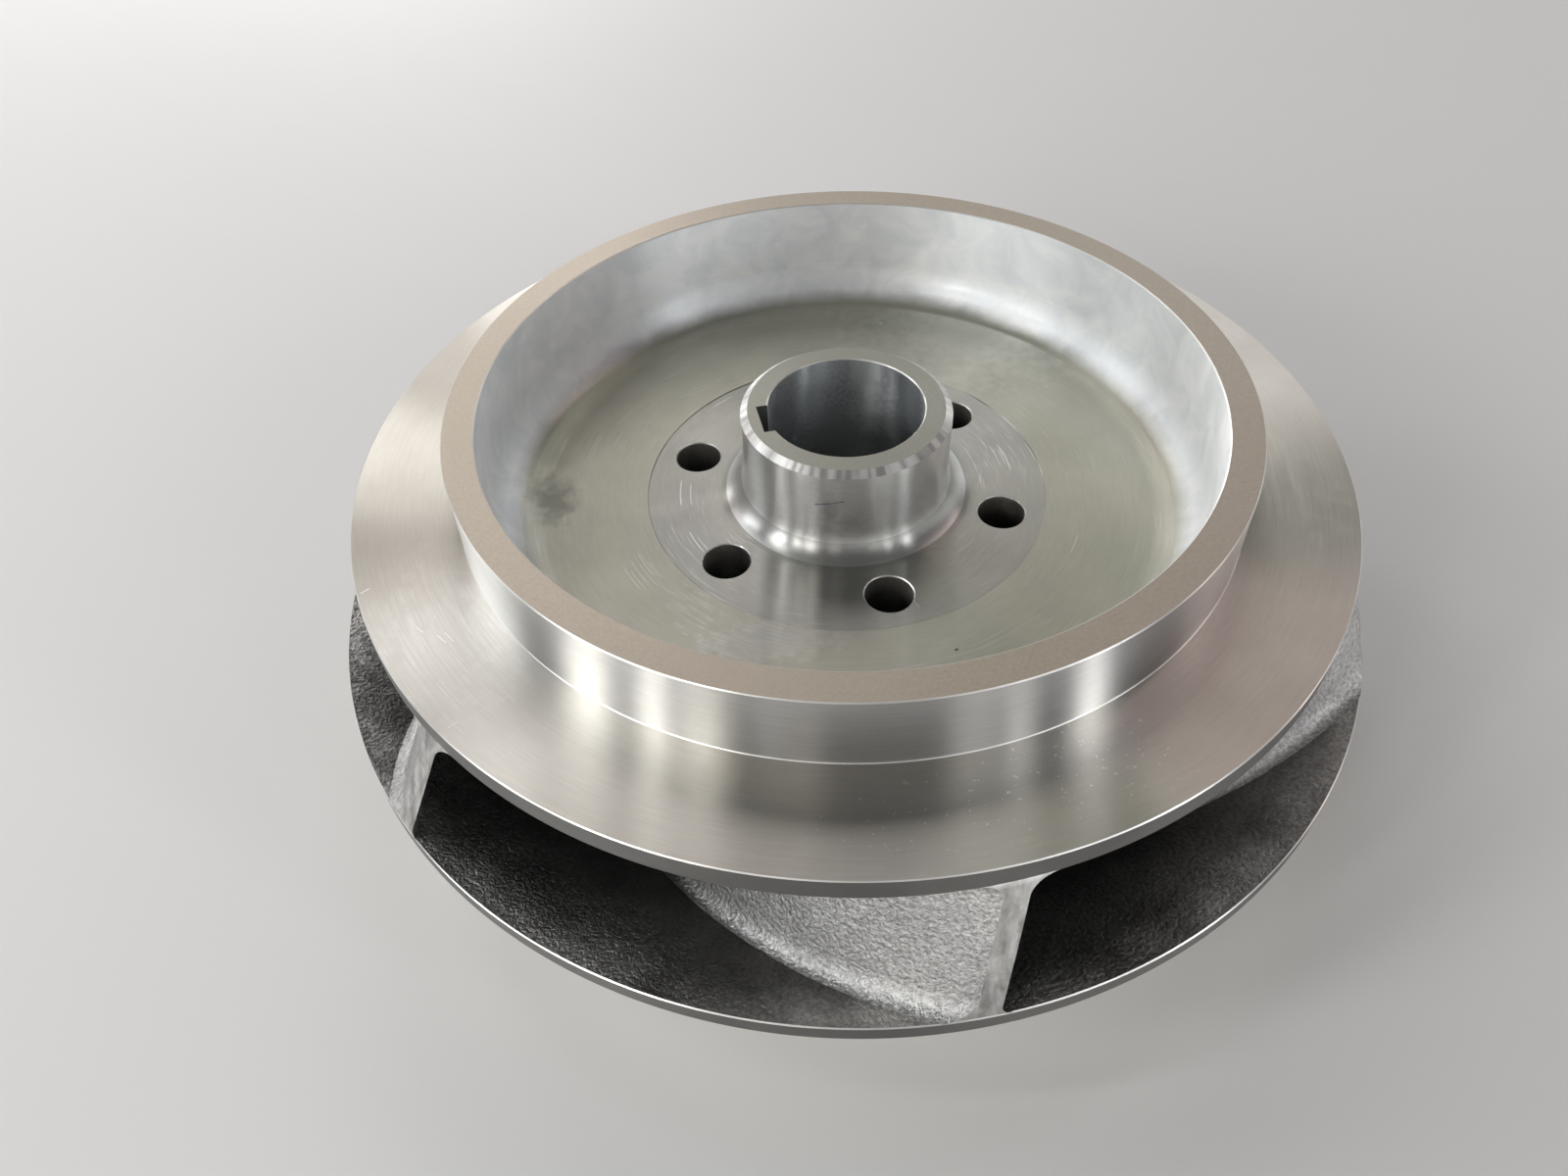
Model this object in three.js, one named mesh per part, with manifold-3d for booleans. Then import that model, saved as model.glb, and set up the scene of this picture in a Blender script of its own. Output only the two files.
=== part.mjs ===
// Closed pump impeller, standing hub side up on its eye ring.
// Millimetres. The origin is on the shaft axis at the lower face of the eye ring, and +Z points along
// the axis to the hub side. The keyway is on the -X side of the bore.
// The real wheel is one casting. Each named feature is a solid of its own here.

import * as THREE from 'three';
import { mergeVertices } from 'three/addons/utils/BufferGeometryUtils.js';
import Module from 'manifold-3d';

const wasm = await Module();
wasm.setup();

// Bore and hub.
const BORE_R = 47.5;
const KEYWAY_WIDTH = 25;
const KEYWAY_FLOOR = 52.9;
const HUB_TOP = 212;
const HUB_LAND_R = 59.6;
const HUB_CHAMFER_Z = 208.7;
const HUB_R = 64;
const HUB_FILLET = 18;
const NOSE_Z = 30;

// Back shroud, its dish and the balance holes.
const RIM_R = 300;
const RIM_TOP = 180;
const RIM_LOW = 166;
const LAND_Z = 150;
const LAND_R = 125.6;
const FLOOR_Z = 150.5;
const DISH_R = 218;
const DISH_FILLET = 28;
const HOLE_R = 14.5;
const HOLE_CIRCLE_R = 100;
const HOLE_COUNT = 6;
const HOLE_START = 30;

// Balance ring on the back shroud, with an undercut at its foot.
const RING_R = 237;
const RING_TOP = 226.5;
const UNDERCUT_WIDTH = 2.5;
const UNDERCUT_DEPTH = 1.2;

// Front shroud and eye ring.
const FRONT_RIM_R = 328;
const FRONT_RIM_TOP = 90;
const FRONT_RIM_LOW = 79;
const EYE_TOP = 24;
const EYE_IN_TOP_R = 231;
const EYE_IN_LOW_R = 224;
const EYE_SHOULDER_R = 250;
const EYE_RING_R = 244;

// Vanes. Angles are in degrees, thicknesses are square to the vane.
const VANE_COUNT = 6;
const VANE_TIP_TOP = -89.4;
const VANE_TIP_LOW = -92.6;
const VANE_TIP_THICKNESS = 6;
const VANE_MID_THICKNESS = 9;
const VANE_NOSE_THICKNESS = 4;
const VANE_STATIONS = 12;
const VANE_BETA_TIP = 28;
const VANE_BETA_HUB = 54;
const VANE_BETA_EYE = 36;
const BEYOND_RIM = 0.3;

// Vane fillets as [reach along the vane's height, reach along the wall], at the hub wall and at the
// front wall, on the leading side (1) and on the trailing side (-1).
const VANE_FILLETS = {
  1: { hub: [11, 6.5], front: [5, 3.5] },
  [-1]: { hub: [10, 6.5], front: [12, 8] },
};

// Curved neighbours stand this far apart.
const GAP = 0.3;
const SEGMENTS = 72;

const rad = THREE.MathUtils.degToRad;

// The two walls of the flow passage in the radial section, from the rim inwards.
const hubWall = new THREE.CubicBezierCurve(
  new THREE.Vector2(RIM_R, RIM_LOW),
  new THREE.Vector2(190, 146),
  new THREE.Vector2(88, 126),
  new THREE.Vector2(72, NOSE_Z),
);
const frontWall = new THREE.CubicBezierCurve(
  new THREE.Vector2(FRONT_RIM_R, FRONT_RIM_TOP),
  new THREE.Vector2(287, 73),
  new THREE.Vector2(243, 52),
  new THREE.Vector2(EYE_IN_TOP_R, EYE_TOP),
);
const frontOutside = new THREE.CubicBezierCurve(
  new THREE.Vector2(FRONT_RIM_R, FRONT_RIM_LOW),
  new THREE.Vector2(290, 62),
  new THREE.Vector2(262, 45),
  new THREE.Vector2(EYE_SHOULDER_R, EYE_TOP),
);
const hubWallPoints = hubWall.getPoints(20);
const frontWallPoints = frontWall.getPoints(14);
const HUB_SPLIT = 18;

// A closed solid turned about Z from [radius, height] pairs, listed anticlockwise.
function turned(profile) {
  const points = [...profile, profile[0]].map(([r, z]) => new THREE.Vector2(r, z));
  const geometry = new THREE.LatheGeometry(points, SEGMENTS);
  geometry.rotateX(Math.PI / 2);
  return bare(geometry);
}

// A geometry with positions only and its seams closed.
function bare(geometry) {
  geometry.deleteAttribute('normal');
  geometry.deleteAttribute('uv');
  return mergeVertices(geometry, 1e-4);
}

function toManifold(geometry) {
  return new wasm.Manifold(new wasm.Mesh({
    numProp: 3,
    vertProperties: new Float32Array(geometry.attributes.position.array),
    triVerts: new Uint32Array(geometry.index.array),
  }));
}

function toGeometry(solid) {
  const mesh = solid.getMesh();
  const geometry = new THREE.BufferGeometry();
  geometry.setAttribute('position', new THREE.BufferAttribute(mesh.vertProperties, 3));
  geometry.setIndex(new THREE.BufferAttribute(mesh.triVerts, 1));
  return geometry;
}

function cut(geometry, tools) {
  let solid = toManifold(geometry);
  for (const tool of tools) {
    solid = solid.subtract(toManifold(bare(tool)));
  }
  return toGeometry(solid);
}

// Points of an arc in the radial section, from one angle to another in degrees.
function arc(centreR, centreZ, radius, from, to, steps) {
  return Array.from({ length: steps + 1 }, (_, i) => {
    const a = rad(from + (to - from) * i / steps);
    return [centreR + radius * Math.cos(a), centreZ + radius * Math.sin(a)];
  });
}

function machined() {
  return new THREE.MeshStandardMaterial({ color: 0xa9a9a2, roughness: 0.32, metalness: 0.95 });
}

function asCast() {
  return new THREE.MeshStandardMaterial({ color: 0x8f8f8a, roughness: 0.6, metalness: 0.85 });
}

// Hub: a sleeve round the bore, with the foot of its fillet and the nose in the eye.
function hubGeometry() {
  const split = hubWallPoints[HUB_SPLIT];
  const fillet = arc(HUB_R + HUB_FILLET, LAND_Z + HUB_FILLET, HUB_FILLET, -98, -180, 6);
  const nose = hubWallPoints.slice(HUB_SPLIT).reverse().map((p) => [p.x, p.y]);
  const sleeve = turned([
    [BORE_R, NOSE_Z],
    ...nose,
    [split.x, fillet[0][1]],
    ...fillet.slice(1),
    [HUB_R, HUB_CHAMFER_Z],
    [HUB_LAND_R, HUB_TOP],
    [BORE_R, HUB_TOP],
  ]);
  const keyway = new THREE.BoxGeometry(KEYWAY_FLOOR, KEYWAY_WIDTH, HUB_TOP - NOSE_Z + 20);
  keyway.translate(-KEYWAY_FLOOR / 2, 0, (HUB_TOP + NOSE_Z) / 2);
  return cut(sleeve, [keyway]);
}

// Back shroud: the flat outer annulus, the dish with its land, and the upper wall of the passages.
function backShroudGeometry() {
  const split = hubWallPoints[HUB_SPLIT];
  const inner = split.x + GAP;
  const under = hubWallPoints.slice(0, HUB_SPLIT).reverse().map((p) => [p.x, p.y]);
  const dish = arc(DISH_R - DISH_FILLET, FLOOR_Z + DISH_FILLET, DISH_FILLET, 0, -90, 7);
  const disc = turned([
    [inner, split.y + 1],
    ...under,
    [RIM_R, RIM_TOP],
    [RING_R + UNDERCUT_WIDTH, RIM_TOP],
    [RING_R + UNDERCUT_WIDTH, RIM_TOP - UNDERCUT_DEPTH],
    [RING_R, RIM_TOP - UNDERCUT_DEPTH],
    [RING_R, RIM_TOP],
    [DISH_R, RIM_TOP],
    ...dish,
    [LAND_R + 0.5, FLOOR_Z],
    [LAND_R, LAND_Z],
    [inner, LAND_Z],
  ]);
  const holes = Array.from({ length: HOLE_COUNT }, (_, i) => {
    const a = rad(HOLE_START + i * 360 / HOLE_COUNT);
    const hole = new THREE.CylinderGeometry(HOLE_R, HOLE_R, 160, 32);
    hole.rotateX(Math.PI / 2);
    hole.translate(HOLE_CIRCLE_R * Math.cos(a), HOLE_CIRCLE_R * Math.sin(a), 100);
    return hole;
  });
  return cut(disc, holes);
}

// Front shroud: a cone wider than the back shroud, curving down to the eye.
function frontShroudGeometry() {
  const inside = frontWallPoints.map((p) => [p.x, p.y]);
  const outside = frontOutside.getPoints(10).reverse().map((p) => [p.x, p.y]);
  return turned([...outside, ...inside]);
}

// Angle of the vane's middle line at each station along one passage wall, from the rim inwards.
function wrap(points, start, betaEnd) {
  const angles = [rad(start)];
  const betas = [rad(VANE_BETA_TIP)];
  for (let i = 1; i <= VANE_STATIONS; i++) {
    const beta = rad(THREE.MathUtils.lerp(VANE_BETA_TIP, betaEnd, i / VANE_STATIONS));
    const run = points[i].distanceTo(points[i - 1]);
    const radius = (points[i].x + points[i - 1].x) / 2;
    angles.push(angles[i - 1] - run / (radius * Math.tan(beta)));
    betas.push(beta);
  }
  return { angles, betas };
}

function vaneThickness(u) {
  if (u === 1) return VANE_NOSE_THICKNESS;
  return VANE_TIP_THICKNESS + (VANE_MID_THICKNESS - VANE_TIP_THICKNESS) * Math.sin(0.8 * Math.PI * u);
}

// The flow passage between the shrouds as a solid, clear of both walls by the gap.
function passageGeometry() {
  const upper = hubWallPoints.slice(0, HUB_SPLIT).map((p, i) => {
    const t = hubWall.getTangent(i / (hubWallPoints.length - 1));
    return [p.x - t.y * GAP, p.y + t.x * GAP];
  });
  const lower = frontWallPoints.map((p, i) => {
    const t = frontWall.getTangent(i / (frontWallPoints.length - 1));
    return [p.x + t.y * GAP, p.y - t.x * GAP];
  });
  return turned([...lower.reverse(), ...upper]);
}

// Point on the vane's middle surface at a station and at a distance below the hub wall.
function vaneMiddle(hub, eye, i, d) {
  const a = hubWallPoints[i];
  const b = frontWallPoints[i];
  const s = d / a.distanceTo(b);
  return {
    r: THREE.MathUtils.lerp(a.x, b.x, s),
    z: THREE.MathUtils.lerp(a.y, b.y, s),
    angle: THREE.MathUtils.lerp(hub.angles[i], eye.angles[i], s),
    beta: THREE.MathUtils.lerp(hub.betas[i], eye.betas[i], s),
  };
}

// How far a fillet stands out of the vane's face at a distance from the wall.
function flare(d, [reach, width]) {
  const f = THREE.MathUtils.clamp(1 - Math.max(d, GAP) / reach, 0, 1);
  return width * (1 - Math.sqrt(1 - f * f));
}

// Vane: rings of points at stations from beyond the rim inwards, trimmed by the passage.
function vaneGeometry(passage) {
  const hub = wrap(hubWallPoints, VANE_TIP_TOP, VANE_BETA_HUB);
  const eye = wrap(frontWallPoints, VANE_TIP_LOW, VANE_BETA_EYE);
  const near = [-2, 0.8, 2, 4, 7, 11.5];
  const positions = [];
  const index = [];
  let ring = 0;
  for (let i = -1; i <= VANE_STATIONS; i++) {
    const station = Math.max(i, 0);
    const height = hubWallPoints[station].distanceTo(frontWallPoints[station]);
    const far = near.map((d) => height - d).reverse();
    const levels = [...near, height / 4, height / 2, height * 3 / 4, ...far];
    const sides = [1, -1].map((side) => levels.map((d) => {
      const middle = vaneMiddle(hub, eye, station, d);
      if (i < 0) {
        const next = vaneMiddle(hub, eye, 1, d);
        middle.r += (middle.r - next.r) * BEYOND_RIM;
        middle.z += (middle.z - next.z) * BEYOND_RIM;
        middle.angle += (middle.angle - next.angle) * BEYOND_RIM;
      }
      const fillet = VANE_FILLETS[side];
      const half = vaneThickness(station / VANE_STATIONS) / 2
        + flare(d, fillet.hub) + flare(height - d, fillet.front);
      const angle = middle.angle + side * half / (middle.r * Math.sin(middle.beta));
      return [middle.r * Math.cos(angle), middle.r * Math.sin(angle), middle.z];
    }));
    const loop = [...sides[0], ...sides[1].reverse()];
    ring = loop.length;
    positions.push(...loop.flat());
  }
  const last = VANE_STATIONS + 1;
  const at = (i, j) => i * ring + (j % ring);
  for (let i = 0; i < last; i++) {
    for (let j = 0; j < ring; j++) {
      index.push(at(i, j), at(i, j + 1), at(i + 1, j));
      index.push(at(i, j + 1), at(i + 1, j + 1), at(i + 1, j));
    }
  }
  for (let j = 0; j < ring / 2 - 1; j++) {
    const k = ring - 1 - j;
    index.push(at(0, j), at(0, k), at(0, j + 1));
    index.push(at(0, j + 1), at(0, k), at(0, k - 1));
    index.push(at(last, j), at(last, j + 1), at(last, k));
    index.push(at(last, j + 1), at(last, k - 1), at(last, k));
  }
  const geometry = new THREE.BufferGeometry();
  geometry.setAttribute('position', new THREE.Float32BufferAttribute(positions, 3));
  geometry.setIndex(index);
  return toGeometry(toManifold(geometry).intersect(toManifold(passage)));
}

const impeller = new THREE.Group();
impeller.name = 'pump_impeller';

function add(name, geometry, material) {
  const mesh = new THREE.Mesh(geometry, material);
  mesh.name = name;
  impeller.add(mesh);
  return mesh;
}

add('hub', hubGeometry(), machined());
add('back_shroud', backShroudGeometry(), machined());

const ringHeight = RING_TOP - RIM_TOP;
const balanceRing = add('balance_ring', turned([
  [DISH_R, 0],
  [RING_R, 0],
  [RING_R, ringHeight],
  [DISH_R, ringHeight],
]), machined());
balanceRing.position.z = RIM_TOP;

const passage = passageGeometry();
for (let i = 0; i < VANE_COUNT; i++) {
  const vane = add(`vane_${i + 1}`, vaneGeometry(passage), asCast());
  vane.rotation.z = rad(-i * 360 / VANE_COUNT);
}

add('front_shroud', frontShroudGeometry(), asCast());
add('eye_ring', turned([
  [EYE_IN_LOW_R, 0],
  [EYE_RING_R, 0],
  [EYE_RING_R, EYE_TOP],
  [EYE_IN_TOP_R, EYE_TOP],
  [EYE_IN_TOP_R - 4.5, EYE_TOP / 2],
]), machined());

export default impeller;
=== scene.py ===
import math

import bmesh
import bpy
import numpy as np
from mathutils import Matrix, Vector, noise


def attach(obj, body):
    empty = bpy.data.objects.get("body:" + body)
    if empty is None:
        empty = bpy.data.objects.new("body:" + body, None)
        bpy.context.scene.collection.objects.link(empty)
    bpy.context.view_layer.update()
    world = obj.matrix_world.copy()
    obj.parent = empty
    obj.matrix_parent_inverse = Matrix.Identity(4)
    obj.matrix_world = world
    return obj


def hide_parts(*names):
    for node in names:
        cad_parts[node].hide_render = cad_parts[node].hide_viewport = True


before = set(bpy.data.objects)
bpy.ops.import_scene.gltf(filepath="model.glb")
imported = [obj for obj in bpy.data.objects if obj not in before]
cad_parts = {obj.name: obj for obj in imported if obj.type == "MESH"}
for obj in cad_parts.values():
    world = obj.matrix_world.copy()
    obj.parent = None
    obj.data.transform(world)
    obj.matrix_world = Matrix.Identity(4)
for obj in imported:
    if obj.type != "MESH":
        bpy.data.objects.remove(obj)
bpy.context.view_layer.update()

MM = 0.001
BODY = "root"
SEGMENTS, FINE_SEGMENTS = 384, 768

# Material slots of every piece, in this order.
(TURNED, MATT, CAST, DISH, WALL, BRIGHT, BORE, CHAMFER, TIP, LAND, EDGE, VANE, SIDE, DRILLED, FOOT,
 NECK) = range(16)


# Points of the radial section, as (radius, height).

def arc(r, z, radius, start, end, steps):
    out = []
    for i in range(steps + 1):
        a = math.radians(start + (end - start) * i / steps)
        out.append((r + radius * math.cos(a), z + radius * math.sin(a)))
    return out


def bezier(p, t):
    a, b, c, d = (np.array(q, float) for q in p)
    t = np.asarray(t, float)[:, None]
    return (1 - t) ** 3 * a + 3 * (1 - t) ** 2 * t * b + 3 * (1 - t) * t ** 2 * c + t ** 3 * d


# Radii and heights of the turned surfaces, in millimetres.
BORE_R, NOSE_R, HUB_R, HUB_FACE_R = 47.5, 70.5, 64, 59.6
NOSE_Z, CHAMFER_Z, HUB_Z = 30, 208.7, 212
LAND_R, LAND_FOOT_R, LAND_Z, DISH_Z = 125.6, 82.0, 150, 150.5
RING_IN, RING_OUT, RING_Z = 218, 237, 226.5
BACK_R, BACK_LOW, BACK_Z = 300, 166, 180
FRONT_R, FRONT_LOW, FRONT_Z = 328, 79, 90
EYE_IN, EYE_OUT, NECK_IN, NECK_OUT, NECK_Z = 225, 244, 231, 250, 24
HOLES, HOLE_PITCH_R, HOLE_R, HOLE_MOUTH_R = 6, 100, 14.5, 15.5

# Cast and turned walls, each a curve from the rim inwards. The hub and the back shroud meet at the split.
HUB_WALL = ((BACK_R, BACK_LOW), (190, 146), (88, 126), (72, NOSE_Z))
FRONT_WALL = ((FRONT_R, FRONT_Z), (287, 73), (243, 52), (NECK_IN, NECK_Z))
FRONT_OUT = ((FRONT_R, FRONT_LOW), (290, 62), (262, 45), (NECK_OUT, NECK_Z))
SPLIT_T = 0.9
SPLIT_R, SPLIT_Z = (float(v) for v in bezier(HUB_WALL, [SPLIT_T])[0])


def walk(*runs, step=7.0):
    """Joins runs of (material, points) into rows of (r, z, material), with no strip wider than the step."""
    rows = []
    for material, points in runs:
        for (r0, z0), (r1, z1) in zip(points, points[1:]):
            n = max(1, math.ceil(math.hypot(r1 - r0, z1 - z0) / step))
            for k in range(n):
                rows.append((r0 + (r1 - r0) * k / n, z0 + (z1 - z0) * k / n, material))
    return rows


def guarded(points, gap=0.5):
    """Adds a row close to both ends of each long strip, so that its shading stays flat."""
    out = [points[0]]
    for (r0, z0), (r1, z1) in zip(points, points[1:]):
        length = math.hypot(r1 - r0, z1 - z0)
        if length > 4 * gap:
            for f in (gap / length, 1 - gap / length):
                out.append((r0 + (r1 - r0) * f, z0 + (z1 - z0) * f))
        out.append((r1, z1))
    return out


# Unevenness of the cast skins: heights in metres, and waves per metre.
SHROUD_LUMPS, VANE_LUMPS, VANE_GRIT = 0.00035, 0.0003, 0.00022
LUMP_WAVES, RIPPLE_WAVES, GRIT_WAVES = 38.0, 95.0, 240.0


def lumps(co, height):
    """Slow unevenness of a cast skin, in metres."""
    ripple = noise.noise(co * RIPPLE_WAVES + Vector((3, 1, 7)))
    return height * (noise.noise(co * LUMP_WAVES) + 0.6 * ripple)


def turn(name, rows, segments):
    """A closed mesh turned about Z from rows of (r, z, material)."""
    n = len(rows)
    angles = np.arange(segments) * 2 * math.pi / segments
    r = np.array([row[0] for row in rows]) * MM
    z = np.array([row[1] for row in rows]) * MM
    co = np.empty((n, segments, 3))
    co[:, :, 0] = r[:, None] * np.cos(angles)
    co[:, :, 1] = r[:, None] * np.sin(angles)
    co[:, :, 2] = z[:, None]
    before = [rows[i - 1][2] for i in range(n)]
    inside = [rows[i][2] == CAST and before[i] == CAST for i in range(n)]
    for i in range(n):
        if not inside[i]:
            continue
        p, q = rows[i - 1], rows[(i + 1) % n]
        tr, tz = q[0] - p[0], q[1] - p[1]
        length = math.hypot(tr, tz)
        nr, nz = tz / length, -tr / length
        for j in range(segments):
            c = Vector(co[i, j])
            d = lumps(c, SHROUD_LUMPS)
            co[i, j, 0] += nr * math.cos(angles[j]) * d
            co[i, j, 1] += nr * math.sin(angles[j]) * d
            co[i, j, 2] += nz * d
    i = np.repeat(np.arange(n), segments)
    j = np.tile(np.arange(segments), n)
    i2, j2 = (i + 1) % n, (j + 1) % segments
    faces = np.stack([i * segments + j, i * segments + j2, i2 * segments + j2, i2 * segments + j], 1)
    mesh = bpy.data.meshes.new(name)
    mesh.vertices.add(n * segments)
    mesh.vertices.foreach_set("co", co.reshape(-1))
    mesh.loops.add(faces.size)
    mesh.loops.foreach_set("vertex_index", faces.reshape(-1))
    mesh.polygons.add(len(faces))
    mesh.polygons.foreach_set("loop_start", np.arange(len(faces)) * 4)
    mesh.polygons.foreach_set("material_index", np.array([row[2] for row in rows])[i])
    mesh.update(calc_edges=True)
    return place(name, mesh)


def place(name, mesh):
    for material in MATERIALS:
        mesh.materials.append(material)
    piece = bpy.data.objects.new(name, mesh)
    bpy.context.scene.collection.objects.link(piece)
    return piece


def smooth(piece, angle=32):
    """Smooth faces with hard edges, and only the material slots in use."""
    mesh = piece.data
    slots = np.empty(len(mesh.polygons), int)
    mesh.polygons.foreach_get("material_index", slots)
    used, slots = np.unique(slots, return_inverse=True)
    mesh.materials.clear()
    for k in used:
        mesh.materials.append(MATERIALS[k])
    mesh.polygons.foreach_set("material_index", slots)
    mesh.polygons.foreach_set("use_smooth", np.ones(len(mesh.polygons), bool))
    mesh.set_sharp_from_angle(angle=math.radians(angle))
    mesh.validate()
    mesh.update()


def carve(piece, cutters):
    """Cuts closed meshes out of a piece and keeps the result as its mesh."""
    for cutter in cutters:
        mod = piece.modifiers.new("cut", "BOOLEAN")
        mod.operation = "DIFFERENCE"
        mod.solver = "EXACT"
        mod.object = cutter
    bpy.context.view_layer.update()
    done = bpy.data.meshes.new_from_object(piece.evaluated_get(bpy.context.evaluated_depsgraph_get()))
    piece.modifiers.clear()
    old = piece.data
    done.name = old.name
    piece.data = done
    bpy.data.meshes.remove(old)
    for cutter in cutters:
        mesh = cutter.data
        bpy.data.objects.remove(cutter)
        bpy.data.meshes.remove(mesh)


# Materials, worked out from the position on the part.

class Nodes:
    """Node tree of one metal, with short calls for its nodes."""

    def __init__(self, name):
        self.material = bpy.data.materials.new(name)
        self.material.use_nodes = True
        self.tree = self.material.node_tree
        self.tree.nodes.clear()
        self.out = self.add("ShaderNodeOutputMaterial")
        self.shader = self.add("ShaderNodeBsdfPrincipled")
        self.shader.inputs["Metallic"].default_value = 1.0
        self.join(self.shader.outputs[0], self.out.inputs[0])

    def add(self, kind, **values):
        node = self.tree.nodes.new(kind)
        for key, value in values.items():
            setattr(node, key, value)
        return node

    def join(self, a, b):
        self.tree.links.new(a, b)

    def put(self, value, socket):
        if hasattr(value, "is_output"):
            self.join(value, socket)
        else:
            socket.default_value = value

    def math(self, operation, a, b=0.0, clamp=False):
        node = self.add("ShaderNodeMath", operation=operation, use_clamp=clamp)
        self.put(a, node.inputs[0])
        self.put(b, node.inputs[1])
        return node.outputs[0]

    def vector(self, operation, a, b=(0, 0, 0), result="Vector", scale=None):
        node = self.add("ShaderNodeVectorMath", operation=operation)
        self.put(a, node.inputs[0])
        self.put(b, node.inputs[1])
        if scale is not None:
            self.put(scale, node.inputs["Scale"])
        return node.outputs[result]

    def ramp(self, value, low, high, to_low=0.0, to_high=1.0):
        node = self.add("ShaderNodeMapRange", clamp=True)
        self.put(value, node.inputs["Value"])
        node.inputs["From Min"].default_value = low
        node.inputs["From Max"].default_value = high
        node.inputs["To Min"].default_value = to_low
        node.inputs["To Max"].default_value = to_high
        return node.outputs["Result"]

    def mix(self, factor, a, b):
        node = self.add("ShaderNodeMix", data_type="RGBA")
        self.put(factor, node.inputs["Factor"])
        self.put(a, node.inputs["A"])
        self.put(b, node.inputs["B"])
        return node.outputs["Result"]

    def position(self):
        return self.add("ShaderNodeTexCoord").outputs["Object"]

    def noise(self, vector, scale, detail=2.0, rough=0.5, w=None, distortion=0.0):
        node = self.add("ShaderNodeTexNoise", noise_dimensions="4D" if w is not None else "3D")
        self.put(vector, node.inputs["Vector"])
        if w is not None:
            self.put(w, node.inputs["W"])
        node.inputs["Scale"].default_value = scale
        node.inputs["Detail"].default_value = detail
        node.inputs["Roughness"].default_value = rough
        node.inputs["Distortion"].default_value = distortion
        return node.outputs["Fac"]

    def polar(self):
        """Radius and height in millimetres, and the cosine and sine of the angle round the axis."""
        xyz = self.add("ShaderNodeSeparateXYZ")
        self.join(self.position(), xyz.inputs[0])
        x, y, z = xyz.outputs
        square = self.math("ADD", self.math("MULTIPLY", x, x), self.math("MULTIPLY", y, y))
        r = self.math("SQRT", square)
        return {
            "z": self.math("MULTIPLY", z, 1000.0), "r": self.math("MULTIPLY", r, 1000.0),
            "c": self.math("DIVIDE", x, r), "s": self.math("DIVIDE", y, r),
        }

    def rings(self, polar, pitch, drift=0.6, detail=2.0):
        """Noise in rings round the axis, with a pitch in millimetres. More drift breaks the rings up."""
        v = self.add("ShaderNodeCombineXYZ")
        self.join(self.math("DIVIDE", polar["r"], pitch), v.inputs[0])
        self.join(self.math("DIVIDE", polar["z"], pitch), v.inputs[1])
        self.join(self.math("MULTIPLY", polar["c"], drift), v.inputs[2])
        return self.noise(v.outputs[0], 1.0, detail, 0.55, w=self.math("MULTIPLY", polar["s"], drift))

    def stroke(self, start, end, width):
        """Mask of a thin straight mark between two points in millimetres."""
        a, b = (Vector(v) * MM for v in (start, end))
        along = (b - a) / (b - a).length_squared
        offset = self.vector("SUBTRACT", self.position(), tuple(a))
        t = self.math("ADD", self.vector("DOT_PRODUCT", offset, tuple(along), "Value"), 0.0, clamp=True)
        nearest = self.vector("SCALE", tuple(b - a), scale=t)
        distance = self.vector("LENGTH", self.vector("SUBTRACT", offset, nearest), result="Value")
        return self.ramp(distance, width * 0.25 * MM, width * 0.6 * MM, 1.0, 0.0)

    def arc_line(self, polar, radius, first, last, width):
        """Mask of a thin mark round the axis at a radius, between two angles in degrees."""
        middle, half = math.radians((first + last) / 2), math.radians((last - first) / 2)
        off = self.math("ABSOLUTE", self.math("SUBTRACT", polar["r"], radius))
        line = self.ramp(off, width * 0.3, width * 0.6, 1.0, 0.0)
        facing = self.math("ADD", self.math("MULTIPLY", polar["c"], math.cos(middle)),
                           self.math("MULTIPLY", polar["s"], math.sin(middle)))
        reach = self.ramp(facing, math.cos(half), math.cos(half * 0.7), 0.0, 1.0)
        return self.math("MULTIPLY", line, reach)

    def spot(self, centre, radii, ragged=0.3):
        """Mask of a soft ragged patch, its centre and half sizes in millimetres."""
        offset = self.vector("SUBTRACT", self.position(), tuple(Vector(centre) * MM))
        scaled = self.vector("DIVIDE", offset, tuple(Vector(radii) * MM))
        distance = self.vector("LENGTH", scaled, result="Value")
        edge = self.ramp(self.noise(self.position(), 120.0, 2.0, 0.5), 0.3, 0.7, -ragged, ragged)
        return self.ramp(self.math("ADD", distance, edge), 0.30, 1.10, 1.0, 0.0)

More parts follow.
